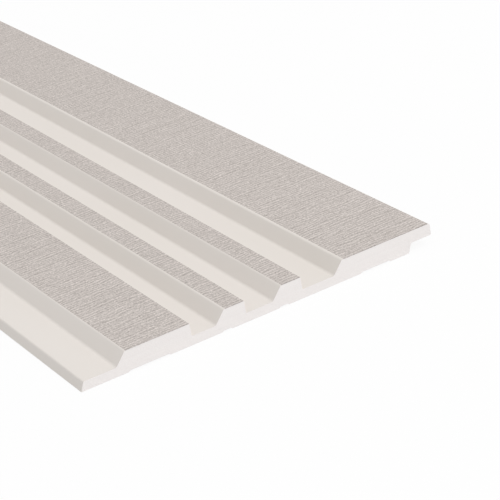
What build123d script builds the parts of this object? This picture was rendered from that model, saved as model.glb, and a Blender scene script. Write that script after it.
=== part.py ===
import os

from build123d import *

os.makedirs("parts", exist_ok=True)

# One length of extruded polystyrene wall panel, in millimetres, lying face up.
# X runs across the panel from the ledge to the lip, Y along its length, Z out of the wall.

# Overall sizes
LENGTH = 2700.0
THICKNESS = 12.0

# Plain floor between the raised slats, and the ledge that carries the next panel's lip
FLOOR_T = 5.0

# Widths across the panel, from the ledge edge to the lip edge
LEDGE_W = 20.5
SLOPE_RUN = 6.0
WIDE_SLAT_W = 37.0
FIRST_GROOVE_W = 14.0
NARROW_SLAT_W = 12.0
MIDDLE_GROOVE_W = 16.0
LAST_GROOVE_W = 19.5
LIP_SLAT_W = 56.0

# Lap joint: the lip of one panel covers the ledge of the next
LIP_REACH = 13.0
LAP_CLEARANCE = 0.3
EDGE_RAKE = 2.1

# Rounds drawn by the extrusion die
SLOPE_EDGE_R = 1.5
SLOPE_FOOT_R = 2.0
UPRIGHT_EDGE_R = 0.6
UPRIGHT_FOOT_R = 0.4
LIP_EDGE_R = 1.4
LIP_UNDER_R = 0.5
LEDGE_EDGE_R = 1.2

# Shallow relief channels in the back, one under each slat
CHANNEL_DEPTH = 0.7
CHANNEL_SIDE = 1.0
WIDE_CHANNEL_W = 24.0
NARROW_CHANNEL_W = 6.0
LIP_CHANNEL_W = 19.0
LIP_CHANNEL_INSET = 10.0

# Stations across the panel: the floor before each slat, then its slope's foot and top, and its upright end
floor_widths = [LEDGE_W, FIRST_GROOVE_W, MIDDLE_GROOVE_W, LAST_GROOVE_W]
slat_widths = [WIDE_SLAT_W, NARROW_SLAT_W, NARROW_SLAT_W, LIP_SLAT_W]
feet = []
tops = []
ends = []
width = 0.0
for floor_width, slat_width in zip(floor_widths, slat_widths):
    feet.append(width + floor_width)
    tops.append(feet[-1] + SLOPE_RUN)
    ends.append(tops[-1] + slat_width)
    width = ends[-1]

# Stations of the lap joint
lip_root = width - LIP_REACH
lip_under_z = FLOOR_T + LAP_CLEARANCE
rebate_foot = lip_root - EDGE_RAKE


def channel(start, channel_w):
    """Corners of one back channel, listed from its far side to its near side."""
    return [
        (start + channel_w, 0.0),
        (start + channel_w - CHANNEL_SIDE, CHANNEL_DEPTH),
        (start + CHANNEL_SIDE, CHANNEL_DEPTH),
        (start, 0.0),
    ]


def round_off(face, x, z, radius):
    """The section with its corner nearest to a station rounded."""
    corner = face.vertices().sort_by_distance(Vertex(x, z, 0.0))[0]
    return fillet(corner, radius)


# The section, walked from the ledge's lower edge over the face and back along the wall side
face_side = [(0.0, 0.0), (EDGE_RAKE, FLOOR_T)]
for foot, top, end in zip(feet, tops, ends):
    face_side += [(foot, FLOOR_T), (top, THICKNESS), (end, THICKNESS)]
    if end < width:
        face_side.append((end, FLOOR_T))
lap_side = [(width, lip_under_z), (lip_root, lip_under_z), (rebate_foot, 0.0)]
wall_side = channel(tops[3] + LIP_CHANNEL_INSET, LIP_CHANNEL_W)
for top in (tops[2], tops[1]):
    wall_side += channel(top - NARROW_CHANNEL_W / 2.0, NARROW_CHANNEL_W)
wall_side += channel(tops[0], WIDE_CHANNEL_W)
section = make_face(Polyline(*(face_side + lap_side + wall_side), close=True))

# Rounds on the section's corners
for foot, top in zip(feet, tops):
    section = round_off(section, foot, FLOOR_T, SLOPE_FOOT_R)
    section = round_off(section, top, THICKNESS, SLOPE_EDGE_R)
for end in ends[:-1]:
    section = round_off(section, end, THICKNESS, UPRIGHT_EDGE_R)
    section = round_off(section, end, FLOOR_T, UPRIGHT_FOOT_R)
section = round_off(section, width, THICKNESS, LIP_EDGE_R)
section = round_off(section, width, lip_under_z, LIP_UNDER_R)

# The ledge's edge and the corner of the rebate that takes it share one round
section = round_off(section, EDGE_RAKE, FLOOR_T, LEDGE_EDGE_R)
section = round_off(section, lip_root, lip_under_z, LEDGE_EDGE_R)

# The length, cut square at both ends, centred on the wall side
centred = Pos(-width / 2.0, 0.0) * section
wall_panel = extrude(Plane.XZ * centred, amount=LENGTH / 2.0, both=True)

export_step(wall_panel, "parts/wall_panel.step")
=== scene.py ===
"""A length of polystyrene wall panel with linen film on its raised slats, on a white studio floor."""

import logging
import math
from dataclasses import dataclass, field
from enum import Enum

import bpy
import numpy as np
from mathutils import Color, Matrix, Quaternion, Vector


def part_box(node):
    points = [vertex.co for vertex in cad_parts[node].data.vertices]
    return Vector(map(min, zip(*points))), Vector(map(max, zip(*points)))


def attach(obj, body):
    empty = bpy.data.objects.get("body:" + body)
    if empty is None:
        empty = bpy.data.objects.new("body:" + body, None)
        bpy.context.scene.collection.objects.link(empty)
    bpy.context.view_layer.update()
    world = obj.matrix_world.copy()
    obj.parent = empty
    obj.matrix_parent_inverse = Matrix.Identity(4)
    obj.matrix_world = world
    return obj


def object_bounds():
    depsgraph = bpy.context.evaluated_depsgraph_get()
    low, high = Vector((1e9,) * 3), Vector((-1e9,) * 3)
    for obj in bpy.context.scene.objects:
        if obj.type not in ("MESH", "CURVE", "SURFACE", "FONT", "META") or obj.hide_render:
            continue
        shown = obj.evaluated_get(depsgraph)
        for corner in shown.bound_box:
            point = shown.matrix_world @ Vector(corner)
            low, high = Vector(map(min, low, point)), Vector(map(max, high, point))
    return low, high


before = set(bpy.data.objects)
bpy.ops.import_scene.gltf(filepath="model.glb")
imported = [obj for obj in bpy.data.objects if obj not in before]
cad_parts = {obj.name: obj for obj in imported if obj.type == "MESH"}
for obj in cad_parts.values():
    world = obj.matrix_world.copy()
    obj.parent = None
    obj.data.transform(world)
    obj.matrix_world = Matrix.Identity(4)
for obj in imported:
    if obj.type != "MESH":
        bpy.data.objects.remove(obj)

CAD_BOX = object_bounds()
LOG = logging.getLogger("wall_panel")
MM = 0.001
HALF = 0.5
OPAQUE = 1.0
FULL_CHANNEL = 255.0

Pair = tuple[float, float]
Triple = tuple[float, float, float]
Colour = Triple
Socket = bpy.types.NodeSocket
Input = Socket | float | Triple


def srgb(red: int, green: int, blue: int) -> Colour:
    """Turn a colour read on a 0 to 255 scale into the linear values that shaders take.

    Args:
        red: red channel, 0 to 255.
        green: green channel, 0 to 255.
        blue: blue channel, 0 to 255.

    Returns:
        The linear red, green and blue.
    """
    screen = Color((red / FULL_CHANNEL, green / FULL_CHANNEL, blue / FULL_CHANNEL))
    linear = screen.from_srgb_to_scene_linear()
    return (linear.r, linear.g, linear.b)


class Slot(Enum):
    """Names of the record's material slots."""

    POLYSTYRENE = "polystyrene"
    LINEN = "linen_skin"


class Mix(Enum):
    """What a mix node mixes, with the numbers of its two inputs and of its output."""

    FLOAT = (2, 3, 0)
    RGBA = (6, 7, 2)


class Ray(Enum):
    """The rays that show the studio, as opposed to those that light the panel."""

    CAMERA = "Is Camera Ray"
    GLOSSY = "Is Glossy Ray"
    TRANSMISSION = "Is Transmission Ray"


class Nodes:
    """A node tree, with short calls that add and join its nodes."""

    def __init__(self, owner: bpy.types.Material | bpy.types.World) -> None:
        """Empty the node tree of a material or a world.

        Args:
            owner: what the tree belongs to.
        """
        owner.use_nodes = True
        self.tree = owner.node_tree
        self.tree.nodes.clear()

    def add(self, kind: str, **settings: object) -> bpy.types.Node:
        """Add one node.

        Args:
            kind: the node's Blender type.
            settings: attributes to set on it.

        Returns:
            The node.
        """
        node = self.tree.nodes.new(kind)
        for key, value in settings.items():
            setattr(node, key, value)
        return node

    def feed(self, target: Socket, value: Input) -> None:
        """Give an input a link if the value is a socket, and a constant if it isn't.

        Args:
            target: the input.
            value: a socket, a number, a vector or a colour.
        """
        if isinstance(value, Socket):
            self.tree.links.new(value, target)
        elif target.type == "RGBA":
            target.default_value = (*value, OPAQUE)
        else:
            target.default_value = value

    def maths(self, operation: str, *values: Input) -> Socket:
        """One arithmetic step.

        Args:
            operation: Blender's name of the operation.
            values: what it works on, each a socket or a number.

        Returns:
            The result.
        """
        node = self.add("ShaderNodeMath", operation=operation)
        for socket, value in zip(node.inputs, values):
            self.feed(socket, value)
        return node.outputs["Value"]

    def spread(self, value: Socket, low: float, high: float) -> Socket:
        """Map a value of 0 to 1 onto another range.

        Args:
            value: the socket to map.
            low: result at 0.
            high: result at 1.

        Returns:
            The mapped value.
        """
        node = self.add("ShaderNodeMapRange")
        self.feed(node.inputs["Value"], value)
        self.feed(node.inputs["To Min"], low)
        self.feed(node.inputs["To Max"], high)
        return node.outputs["Result"]

    def seen(self) -> Socket:
        """Tell rays that show the studio from rays that light the panel.

        Returns:
            1 for camera, glossy and transmission rays, and 0 for the others.
        """
        path = self.add("ShaderNodeLightPath").outputs
        either, *others = [path[ray.value] for ray in Ray]
        for other in others:
            either = self.maths("MAXIMUM", either, other)
        return either


class Graph(Nodes):
    """A material's node tree, with patterns that lie on the piece's own coordinates."""

    def __init__(self, name: str) -> None:
        """Make an empty material.

        Args:
            name: the material's name.
        """
        self.material = bpy.data.materials.new(name)
        super().__init__(self.material)
        coordinates = self.add("ShaderNodeTexCoord").outputs
        self.place = coordinates["Object"]
        self.facing = coordinates["Normal"]

    def along(self, vector: Socket) -> Socket:
        """Take the part of a vector that runs along the panel.

        Args:
            vector: the vector.

        Returns:
            Its part along the length.
        """
        node = self.add("ShaderNodeSeparateXYZ")
        self.feed(node.inputs["Vector"], vector)
        return node.outputs["Y"]

    def noise(self, grain: Triple, detail: float = 2.0, shift: float = 0.0) -> Socket:
        """Soft noise with its own grain size in each direction.

        Args:
            grain: size of a blotch across, along and out of the panel, in metres.
            detail: octaves of finer noise.
            shift: offset that gives another draw of the same noise.

        Returns:
            The noise value, about a half on average.
        """
        mapping = self.add("ShaderNodeMapping")
        self.feed(mapping.inputs["Vector"], self.place)
        self.feed(mapping.inputs["Location"], (shift, shift, shift))
        self.feed(mapping.inputs["Scale"], tuple(1.0 / size for size in grain))
        texture = self.add("ShaderNodeTexNoise")
        self.feed(texture.inputs["Vector"], mapping.outputs["Vector"])
        self.feed(texture.inputs["Scale"], 1.0)
        self.feed(texture.inputs["Detail"], detail)
        return texture.outputs["Fac"]

    def threads(self, pitch: float, sway: float, run: Triple, shift: float) -> Socket:
        """Threads that run across the panel side by side, and wander a little along it.

        Args:
            pitch: distance from one thread to the next, in metres.
            sway: how far the threads wander, in metres.
            run: how far a thread keeps its course across, along and out of the panel, in metres.
            shift: offset that gives another draw of the same threads.

        Returns:
            1 on the middle of a thread and 0 between two threads.
        """
        wander = self.maths("MULTIPLY", self.noise(run, detail=1.0, shift=shift), sway)
        turns = self.maths("DIVIDE", self.maths("ADD", self.along(self.place), wander), pitch)
        wave = self.maths("SINE", self.maths("MULTIPLY", turns, math.tau))
        return self.maths("MULTIPLY_ADD", wave, HALF, HALF)

    def weigh(self, *layers: tuple[Socket, float]) -> Socket:
        """Add layers that are each centred on a half, by weight.

        Args:
            layers: pairs of a socket and its weight.

        Returns:
            The sum, centred on a half and clamped to 0 to 1.
        """
        total: Input = HALF
        for socket, weight in layers:
            centred = self.maths("SUBTRACT", socket, HALF)
            total = self.maths("ADD", self.maths("MULTIPLY", centred, weight), total)
        clamp = self.add("ShaderNodeClamp")
        self.feed(clamp.inputs["Value"], total)
        return clamp.outputs["Result"]

    def mix(self, kind: Mix, share: Socket, low: Input, high: Input) -> Socket:
        """Mix two numbers or two colours.

        Args:
            kind: what is mixed.
            share: how much of the second one, 0 to 1.
            low: the first one.
            high: the second one.

        Returns:
            The mix.
        """
        first, second, result = kind.value
        node = self.add("ShaderNodeMix", data_type=kind.name)
        self.feed(node.inputs["Factor"], share)
        self.feed(node.inputs[first], low)
        self.feed(node.inputs[second], high)
        return node.outputs[result]

    def relief(self, height: Socket, depth: float, strength: float) -> Socket:
        """Turn a height into a surface normal.

        Args:
            height: the height, 0 to 1.
            depth: what a height of 1 stands for, in metres.
            strength: share of the effect.

        Returns:
            The normal.
        """
        node = self.add("ShaderNodeBump")
        self.feed(node.inputs["Strength"], strength)
        self.feed(node.inputs["Distance"], depth)
        self.feed(node.inputs["Height"], height)
        return node.outputs["Normal"]

    def finish(self, colour: Input, roughness: Input, normal: Socket, specular: float) -> bpy.types.Material:
        """Close the graph with its shader.

        Args:
            colour: base colour.
            roughness: roughness.
            normal: surface normal.
            specular: specular level of the shader.

        Returns:
            The material.
        """
        shader = self.add("ShaderNodeBsdfPrincipled")
        self.feed(shader.inputs["Base Color"], colour)
        self.feed(shader.inputs["Roughness"], roughness)
        self.feed(shader.inputs["Specular IOR Level"], specular)
        self.feed(shader.inputs["Normal"], normal)
        output = self.add("ShaderNodeOutputMaterial")
        self.feed(output.inputs["Surface"], shader.outputs["BSDF"])
        return self.material


@dataclass(frozen=True)
class FoamFinish:
    """Cream polystyrene: a smooth satin skin, and whiter open foam where the length was sawn.

    Attributes:
        skin: colour of the skin.
        skin_shade: colour of its darker blotches.
        core: colour of the open foam.
        core_hollow_shade: colour of the open foam's hollows, darker as painted shade.
        skin_roughness: lowest and highest roughness of the skin.
        core_roughness: roughness of the open foam.
        specular: specular level all over.
        sawn_facing: how squarely a face looks along the panel to count as sawn.
        blotch: size of the skin's blotches across, along and out of the panel, in metres.
        die_line: size of the lines that the die leaves, likewise.
        cell: size of a cell of the foam, likewise.
        saw_line: size of a saw line on the cut, likewise.
        cell_share: weight of the cells in the open foam.
        saw_share: weight of the saw lines in it.
        skin_depth: depth of the die lines, in metres.
        core_depth: depth of the open foam, in metres.
        relief_strength: share of these depths that shows.
    """

    skin: Colour = srgb(227, 221, 216)
    skin_shade: Colour = srgb(222, 216, 209)
    core: Colour = srgb(238, 234, 232)
    core_hollow_shade: Colour = srgb(233, 228, 226)
    skin_roughness: Pair = (0.46, 0.56)
    core_roughness: float = 0.82
    specular: float = 0.4
    sawn_facing: float = 0.5
    blotch: Triple = (45.0 * MM, 180.0 * MM, 45.0 * MM)
    die_line: Triple = (0.7 * MM, 260.0 * MM, 0.7 * MM)
    cell: Triple = (0.55 * MM, 0.55 * MM, 0.55 * MM)
    saw_line: Triple = (60.0 * MM, 60.0 * MM, 0.45 * MM)
    cell_share: float = 1.2
    saw_share: float = 0.8
    skin_depth: float = 0.02 * MM
    core_depth: float = 0.06 * MM
    relief_strength: float = 0.6

    def material(self) -> bpy.types.Material:
        """Make the foam's material.

        Returns:
            The material.
        """
        graph = Graph("cream_polystyrene")
        endwise = graph.maths("ABSOLUTE", graph.along(graph.facing))
        sawn = graph.maths("GREATER_THAN", endwise, self.sawn_facing)
        mottle = graph.noise(self.blotch)
        lines = graph.noise(self.die_line)
        cells = graph.noise(self.cell, detail=1.0)
        saw = graph.noise(self.saw_line, detail=1.0)
        open_foam = graph.weigh((cells, self.cell_share), (saw, self.saw_share))
        skin = graph.mix(Mix.RGBA, mottle, self.skin, self.skin_shade)
        # Painted shade: the open foam is coloured darker in its hollows, where its bump height is low.
        core = graph.mix(Mix.RGBA, open_foam, self.core_hollow_shade, self.core)
        colour = graph.mix(Mix.RGBA, sawn, skin, core)
        satin = graph.spread(lines, *self.skin_roughness)
        roughness = graph.mix(Mix.FLOAT, sawn, satin, self.core_roughness)
        skin_height = graph.maths("MULTIPLY", lines, self.skin_depth / self.core_depth)
        height = graph.mix(Mix.FLOAT, sawn, skin_height, open_foam)
        normal = graph.relief(height, self.core_depth, self.relief_strength)
        return graph.finish(colour, roughness, normal, self.specular)


@dataclass(frozen=True)
class LinenFinish:
    """Grey-beige linen film: slub threads across the panel over a fine weave in the film's own print, with
    painted shade in its hollows and painted light on its crowns.

    Attributes:
        hollow_print_and_shade: colour of the weave's hollows, the film's print darkened there as painted
            shade.
        crown_print_and_light: colour of its crowns, the film's print lightened there as painted light.
        roughness: roughness in the hollows and on the crowns.
        specular: specular level all over.
        thread_pitch: distance from one slub thread to the next, in metres.
        short_sway: how far the short threads wander, in metres.
        short_run: how far they keep their course across, along and out of the panel, in metres.
        short_draw: offset of their noise.
        short_share: their weight in the weave.
        long_sway: how far the long threads wander, in metres.
        long_run: how far they keep their course, as for the short ones.
        long_draw: offset of their noise.
        long_share: their weight in the weave.
        weft: size of the fine threads across the panel, in metres.
        weft_draw: offset of their noise.
        weft_share: their weight in the weave.
        warp: size of the fine threads along the panel, in metres.
        warp_draw: offset of their noise.
        warp_share: their weight in the weave.
        weave_depth: depth of the weave, in metres.
        weave_strength: share of that depth that shows.
    """

    hollow_print_and_shade: Colour = srgb(143, 135, 129)
    crown_print_and_light: Colour = srgb(230, 222, 217)
    roughness: Pair = (0.62, 0.8)
    specular: float = 0.25
    thread_pitch: float = 2.4 * MM
    short_sway: float = 5.5 * MM
    short_run: Triple = (12.0 * MM, 7.0 * MM, 40.0 * MM)
    short_draw: float = 0.0
    short_share: float = 0.26
    long_sway: float = 5.0 * MM
    long_run: Triple = (40.0 * MM, 4.0 * MM, 40.0 * MM)
    long_draw: float = 11.0
    long_share: float = 0.15
    weft: Triple = (0.9 * MM, 0.38 * MM, 40.0 * MM)
    weft_draw: float = 7.0
    weft_share: float = 1.1
    warp: Triple = (0.38 * MM, 1.2 * MM, 40.0 * MM)
    warp_draw: float = 3.0
    warp_share: float = 0.25
    weave_depth: float = 0.08 * MM
    weave_strength: float = 0.5

    def material(self) -> bpy.types.Material:
        """Make the film's material.

        Returns:
            The material.
        """
        graph = Graph("linen_film")
        short_threads = graph.threads(self.thread_pitch, self.short_sway, self.short_run, self.short_draw)
        long_threads = graph.threads(self.thread_pitch, self.long_sway, self.long_run, self.long_draw)
        weft = graph.noise(self.weft, detail=0.0, shift=self.weft_draw)
        warp = graph.noise(self.warp, detail=0.0, shift=self.warp_draw)
        weave = graph.weigh(
            (short_threads, self.short_share),
            (long_threads, self.long_share),
            (weft, self.weft_share),
            (warp, self.warp_share),
        )
        # The film's print, painted darker in the weave's hollows as shade and lighter on its crowns as
        # light.
        weave_print_and_shade = graph.mix(Mix.RGBA, weave, self.hollow_print_and_shade, self.crown_print_and_light)
        satin = graph.spread(weave, *self.roughness)
        normal = graph.relief(weave, self.weave_depth, self.weave_strength)
        return graph.finish(weave_print_and_shade, satin, normal, self.specular)


def begin() -> None:
    """Leave nothing selected, so that the next operator acts on its own piece alone."""
    bpy.ops.object.select_all(action="DESELECT")


def coat(piece: bpy.types.Object, material: bpy.types.Material) -> None:
    """Give a piece one material all over.

    Args:
        piece: the piece.
        material: its finish.
    """
    if piece.material_slots:
        for each in piece.material_slots:
            each.material = material
    else:
        piece.data.materials.append(material)


def read(items: bpy.types.bpy_prop_collection, name: str, kind: type, columns: int = 1) -> np.ndarray:
    """Copy one attribute of all vertices, corners, faces or map points of a mesh.

    Args:
        items: the mesh's collection to read.
        name: the attribute.
        kind: type of its numbers.
        columns: how many numbers each item has.

    Returns:
        A flat array, or one row for each item where an item has several numbers.
    """
    values = np.empty(len(items) * columns, dtype=kind)
    items.foreach_get(name, values)
    return values if columns == 1 else values.reshape(-1, columns)


@dataclass
class PanelBody:
    """The extruded length of polystyrene, as the frame gives it.

    Attributes:
        node: its node in the frame.
        slot: the record's slot of its material.
        finish: its finish.
        flat: how far apart two points may be and still count as level or touching, in metres.
        slope_margins: bare strip beside the slope of each slat, in metres.
        film_overlap: how far the film laps over the upright side, in metres.
    """

    node: str = "wall_panel"
    slot: Slot = Slot.POLYSTYRENE
    finish: FoamFinish = field(default_factory=FoamFinish)
    flat: float = 0.01 * MM
    slope_margins: tuple[float, ...] = (-0.2 * MM, 0.1 * MM, -0.2 * MM, 0.6 * MM)
    film_overlap: float = 0.25 * MM

    def dress(self) -> bpy.types.Object:
        """Give the length its finish.

        Returns:
            The length's object.
        """
        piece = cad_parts[self.node]
        coat(piece, self.finish.material())
        return piece

    def slat_tops(self) -> list[Pair]:
        """Find the flat tops of the raised slats.

        Returns:
            The left and right edge of each top across the panel, from the ledge to the lip.
        """
        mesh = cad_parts[self.node].data
        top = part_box(self.node)[1].z
        spans: list[Pair] = []
        for face in mesh.polygons:
            corners = [mesh.vertices[index].co for index in face.vertices]
            if all(top - corner.z < self.flat for corner in corners):
                span = (min(c.x for c in corners), max(c.x for c in corners))
                spans = self._merge(spans, span)
        return sorted(spans)

    def film_spans(self) -> list[Pair]:
        """Find where the film lies on each slat.

        It laps over the edge on the upright side. On the slope side it has its own margin: one above 0
        leaves a bare strip beside the slope, and one below 0 laps the film over the round.

        Returns:
            The left and right edge of each strip of film, from the ledge to the lip.
        """
        spans = []
        for (left, right), margin in zip(self.slat_tops(), self.slope_margins):
            spans.append((left + margin, right + self.film_overlap))
        return spans

    def _merge(self, spans: list[Pair], extra: Pair) -> list[Pair]:
        """Add a span to a list, joined with those that it overlaps.

        Args:
            spans: the spans so far.
            extra: the span to add.

        Returns:
            The new list.
        """
        kept = []
        left, right = extra
        for span in spans:
            if span[0] < right + self.flat and left < span[1] + self.flat:
                left = min(left, span[0])
                right = max(right, span[1])
            else:
                kept.append(span)
        return [*kept, (left, right)]


@dataclass
class LinenFilm:
    """One strip of linen film on the flat top of a slat, with its cross threads raised.

    Attributes:
        name: the piece's name.
        left: its left edge across the panel, in metres.
        right: its right edge across the panel, in metres.
        length: its length along the panel, in metres.
        bed: height of the slat's top, in metres.
        material: its finish.
        thickness: height of the film over the slat, in metres.
        sunk: how far its underside lies in the slat, in metres.
        row_pitch: distance between the grid's rows along the panel, in metres.
        column_pitch: distance between its columns across the panel, in metres.
        fewest_columns: columns that even a narrow strip has.
        slub_length: length of a slub across the panel, in metres.
        slub_width: width of a slub, in metres.
        slub_rise: height of the highest slubs, in metres.
        slub_detail: octaves of finer slubs.
        rim_reach: how near to an edge a point counts as on it, in metres.
        crease_angle: largest angle that is shaded smooth, in degrees.
        map_name: the name of the piece's own texture map.
        map_edge: margin round the map, as a share of its side.
        map_rest: share of the map's width for the sides and the underside.
        map_under: share of that band for the underside.
        map_sides: share of that band for a side.
        top_facing: how squarely a face looks up to count as the top.
    """

    name: str
    left: float
    right: float
    length: float
    bed: float
    material: bpy.types.Material
    thickness: float = 0.04 * MM
    sunk: float = 0.08 * MM
    row_pitch: float = 0.65 * MM
    column_pitch: float = 3.4 * MM
    fewest_columns: int = 3
    slub_length: float = 9.0 * MM
    slub_width: float = 1.3 * MM
    slub_rise: float = 0.08 * MM
    slub_detail: int = 2
    rim_reach: float = 0.01 * MM
    crease_angle: float = 35.0
    map_name: str = "OFBake"
    map_edge: float = 0.003
    map_rest: float = 0.04
    map_under: float = 0.8
    map_sides: float = 0.1
    top_facing: float = 0.5

    @property
    def width(self) -> float:
        """Width of the strip across the panel."""
        return self.right - self.left

    def build(self) -> bpy.types.Object:
        """Model the strip.

        Returns:
            The finished piece.
        """
        piece = self._sheet()
        self._raise_threads(piece)
        self._close(piece)
        self._fold_map(piece)
        coat(piece, self.material)
        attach(piece, "root")
        return piece

    def _sheet(self) -> bpy.types.Object:
        """Lay a flat grid over the slat's top, with a map that counts in slubs.

        Returns:
            The grid's object.
        """
        columns = max(self.fewest_columns, round(self.width / self.column_pitch))
        rows = round(self.length / self.row_pitch)
        begin()
        bpy.ops.mesh.primitive_grid_add(x_subdivisions=columns, y_subdivisions=rows, size=1.0)
        piece = bpy.context.object
        piece.name = self.name
        piece.data.name = self.name
        bpy.ops.object.mode_set(mode="EDIT")
        bpy.ops.mesh.select_all(action="SELECT")
        bpy.ops.transform.resize(value=(self.width, self.length, 1.0))
        centre = (self.left + self.right) / 2.0
        bpy.ops.transform.translate(value=(centre, 0.0, self.bed + self.thickness))
        bpy.ops.object.mode_set(mode="OBJECT")
        layer = piece.data.uv_layers.active
        spots = read(layer.data, "uv", np.float32, 2)
        spots = spots * (self.width / self.slub_length, self.length / self.slub_width)
        spots += (self.left / self.slub_length, 0.0)
        layer.data.foreach_set("uv", spots.astype(np.float32).ravel())
        return piece

    def _raise_threads(self, piece: bpy.types.Object) -> None:
        """Lift the cross threads and their slubs.

        Args:
            piece: the flat grid.
        """
        slubs = bpy.data.textures.new("slubs", "CLOUDS")
        slubs.noise_scale = 1.0
        slubs.noise_depth = self.slub_detail
        modifier = piece.modifiers.new("slubs", "DISPLACE")
        modifier.texture = slubs
        modifier.texture_coords = "UV"
        modifier.direction = "Z"
        modifier.mid_level = 0.0
        modifier.strength = self.slub_rise
        bpy.ops.object.modifier_apply(modifier=modifier.name)
        bpy.data.textures.remove(slubs)

    def _close(self, piece: bpy.types.Object) -> None:
        """Turn the long rims down into the slat and close the strip underneath.

        Args:
            piece: the raised sheet.
        """
        mesh = piece.data
        bpy.ops.object.mode_set(mode="EDIT")
        bpy.ops.mesh.select_mode(type="EDGE")
        bpy.ops.mesh.select_all(action="DESELECT")
        bpy.ops.object.mode_set(mode="OBJECT")
        for edge in mesh.edges:
            ends = [mesh.vertices[index].co.x for index in edge.vertices]
            on_left = all(abs(x - self.left) < self.rim_reach for x in ends)
            on_right = all(abs(x - self.right) < self.rim_reach for x in ends)
            edge.select = on_left or on_right
        bpy.ops.object.mode_set(mode="EDIT")
        underside = (0.0, 0.0, self.bed - self.sunk)
        bpy.ops.mesh.extrude_edges_move(TRANSFORM_OT_translate={"value": (0.0, 0.0, -self.thickness)})
        bpy.ops.transform.resize(value=(1.0, 1.0, 0.0), center_override=underside)
        bpy.ops.mesh.bridge_edge_loops()
        bpy.ops.mesh.select_all(action="DESELECT")
        bpy.ops.mesh.select_non_manifold()
        bpy.ops.mesh.fill_holes(sides=0)
        bpy.ops.mesh.select_all(action="SELECT")
        bpy.ops.mesh.normals_make_consistent(inside=False)
        bpy.ops.object.mode_set(mode="OBJECT")
        bpy.ops.object.shade_smooth_by_angle(angle=math.radians(self.crease_angle))

    def _fold_map(self, piece: bpy.types.Object) -> None:
        """Fold the strip's texture map, so that a square picture holds its weave.

        The top lies in short lengths side by side. The sides and the underside share a narrow band.

        Args:
            piece: the closed strip.
        """
        mesh = piece.data
        folds = round(math.sqrt(self.length / self.width))
        places = read(mesh.vertices, "co", np.float32, 3)
        corners = read(mesh.loops, "vertex_index", np.int32)
        normals = read(mesh.polygons, "normal", np.float32, 3)
        firsts = read(mesh.polygons, "loop_start", np.int32)
        counts = read(mesh.polygons, "loop_total", np.int32)
        low = places.min(axis=0)
        across, along, rise = ((places - low) / (places.max(axis=0) - low))[corners].T
        middles = np.add.reduceat(along, firsts) / counts
        fold = np.repeat(np.clip(np.floor(middles * folds), 0, folds - 1), counts)
        on_top = np.repeat(normals[:, 2] > self.top_facing, counts)
        top_u = (fold + across) / folds * (1.0 - self.map_rest)
        top_v = along * folds - fold
        rest_u = 1.0 - self.map_rest * (1.0 - self.map_under * across - self.map_sides * rise)
        spots = np.stack((np.where(on_top, top_u, rest_u), np.where(on_top, top_v, along)), axis=1)
        inside = self.map_edge + (1.0 - 2.0 * self.map_edge) * spots
        layer = mesh.uv_layers.active
        layer.name = self.map_name
        layer.data.foreach_set("uv", inside.astype(np.float32).ravel())


@dataclass
class Studio:
    """A white floor under soft light from above and from the front.

    Attributes:
        white: colour of the background.
        floor_size: side of the square floor, in metres.
        floor_drop: gap between the floor and the panel's back, in metres.
        floor_colour: colour of the floor where light falls on it.
        floor_glow: share of plain white in what the camera sees of the floor.
        sky_light: strength of the sky's light on the panel.
        sky_shown: strength of the sky as the camera sees it.
        lamp_energy: power of the lamp, in watts.
        lamp_place: where it hangs, in metres.
        lamp_size: side of its square, in metres.
        lamp_aim: how far from the panel's near end it points, in metres.
    """

    white: Colour = (1.0, 1.0, 1.0)
    floor_size: float = 14.0
    floor_drop: float = 0.2 * MM
    floor_colour: Colour = (0.86, 0.86, 0.86)
    floor_glow: float = 0.92
    sky_light: float = 0.65
    sky_shown: float = 1.0
    lamp_energy: float = 210.0
    lamp_place: Triple = (1.8, -4.3, 5.31)
    lamp_size: float = 4.0
    lamp_aim: float = 0.2

    def build(self) -> None:
        """Make the floor, the sky and the lamp."""
        self._floor()
        self._sky()
        self._lamp()

    def _floor(self) -> None:
        """Lay the floor: white to the camera, with the panel's shadow kept."""
        begin()
        bpy.ops.mesh.primitive_plane_add(size=self.floor_size, location=(0.0, 0.0, -self.floor_drop))
        floor = bpy.context.object
        floor.name = "studio_floor"
        material = bpy.data.materials.new("studio_floor")
        nodes = Nodes(material)
        paper = nodes.add("ShaderNodeBsdfDiffuse")
        nodes.feed(paper.inputs["Color"], self.floor_colour)
        glow = nodes.add("ShaderNodeEmission")
        nodes.feed(glow.inputs["Color"], self.white)
        share = nodes.maths("MULTIPLY", nodes.seen(), self.floor_glow)
        both = nodes.add("ShaderNodeMixShader")
        for socket, source in zip(both.inputs, (share, paper.outputs["BSDF"], glow.outputs["Emission"])):
            nodes.feed(socket, source)
        output = nodes.add("ShaderNodeOutputMaterial")
        nodes.feed(output.inputs["Surface"], both.outputs["Shader"])
        coat(floor, material)

    def _sky(self) -> None:
        """Light the panel evenly from all round, with a white background behind it."""
        world = bpy.data.worlds.new("studio_sky")
        bpy.context.scene.world = world
        nodes = Nodes(world)
        background = nodes.add("ShaderNodeBackground")
        nodes.feed(background.inputs["Color"], self.white)
        nodes.feed(background.inputs["Strength"], nodes.spread(nodes.seen(), self.sky_light, self.sky_shown))
        output = nodes.add("ShaderNodeOutputWorld")
        nodes.feed(output.inputs["Surface"], background.outputs["Background"])

    def _lamp(self) -> None:
        """Hang one soft square lamp, turned to the near end of the panel."""
        begin()
        bpy.ops.object.light_add(type="AREA", location=self.lamp_place)
        lamp = bpy.context.object
        lamp.name = "key"
        lamp.data.shape = "SQUARE"
        lamp.data.size = self.lamp_size
        lamp.data.energy = self.lamp_energy
        aim = Vector((0.0, CAD_BOX[0].y + self.lamp_aim, 0.0)) - Vector(self.lamp_place)
        lamp.rotation_mode = "QUATERNION"
        lamp.rotation_quaternion = aim.to_track_quat("-Z", "Y")


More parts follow.
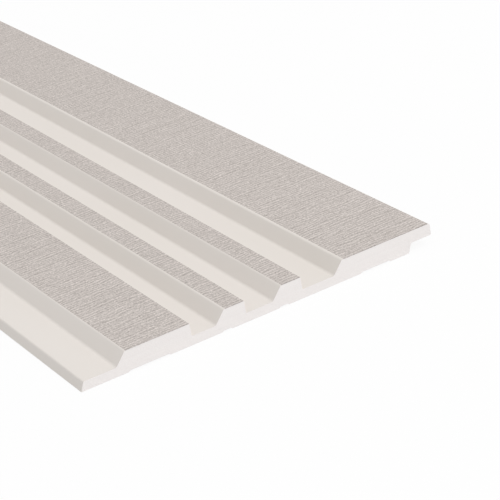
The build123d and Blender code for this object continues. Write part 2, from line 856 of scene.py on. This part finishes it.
@dataclass
class PhotoCamera:
    """The camera, set by the point it looks at on the slats' plane near the cut end.

    Attributes:
        across: the point's place across the panel, in metres.
        from_end: its distance from the cut end, in metres.
        distance: its distance from the camera, in metres.
        heading: turn of the view from the panel's length towards the lip, in degrees.
        dip: tilt of the view below level, in degrees.
        roll: turn about the line of sight, in degrees.
        lens: focal length, in millimetres.
        sensor: width of the sensor, in millimetres.
        nearest: nearest distance that is shown, in metres.
        farthest: farthest distance that is shown, in metres.
    """

    across: float = 23.29 * MM
    from_end: float = 48.41 * MM
    distance: float = 1054.8 * MM
    heading: float = 27.395
    dip: float = 24.896
    roll: float = -9.835
    lens: float = 144.0
    sensor: float = 36.0
    nearest: float = 0.01
    farthest: float = 100.0

    def build(self) -> bpy.types.Object:
        """Make the camera and hand it to the scene.

        Returns:
            The camera's object.
        """
        heading = math.radians(self.heading)
        dip = math.radians(self.dip)
        level = math.cos(dip)
        ahead = Vector((math.sin(heading) * level, math.cos(heading) * level, -math.sin(dip)))
        target = Vector((self.across, CAD_BOX[0].y + self.from_end, CAD_BOX[1].z))
        begin()
        bpy.ops.object.camera_add(location=target - ahead * self.distance)
        camera = bpy.context.object
        camera.name = "photo_camera"
        camera.rotation_mode = "QUATERNION"
        turn = Quaternion((0.0, 0.0, 1.0), math.radians(self.roll))
        camera.rotation_quaternion = ahead.to_track_quat("-Z", "Y") @ turn
        camera.data.lens = self.lens
        camera.data.sensor_width = self.sensor
        camera.data.sensor_fit = "HORIZONTAL"
        camera.data.clip_start = self.nearest
        camera.data.clip_end = self.farthest
        bpy.context.scene.camera = camera
        return camera


def main() -> None:
    """Build the panel, its film, the studio and the camera in order."""
    logging.basicConfig(level=logging.INFO)
    bpy.context.scene.view_settings.view_transform = "Standard"
    body = PanelBody()
    piece = body.dress()
    LOG.info("dressed %s as %s", piece.name, body.slot.value)
    low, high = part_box(body.node)
    linen = LinenFinish().material()
    for number, (left, right) in enumerate(body.film_spans(), start=1):
        film = LinenFilm(f"linen_film_{number}", left, right, high.y - low.y, high.z, linen)
        strip = film.build()
        LOG.info("laid %s, %.1f mm wide, %d faces", strip.name, film.width / MM, len(strip.data.polygons))
    Studio().build()
    camera = PhotoCamera().build()
    LOG.info("set %s", camera.name)


if __name__ == "__main__":
    main()
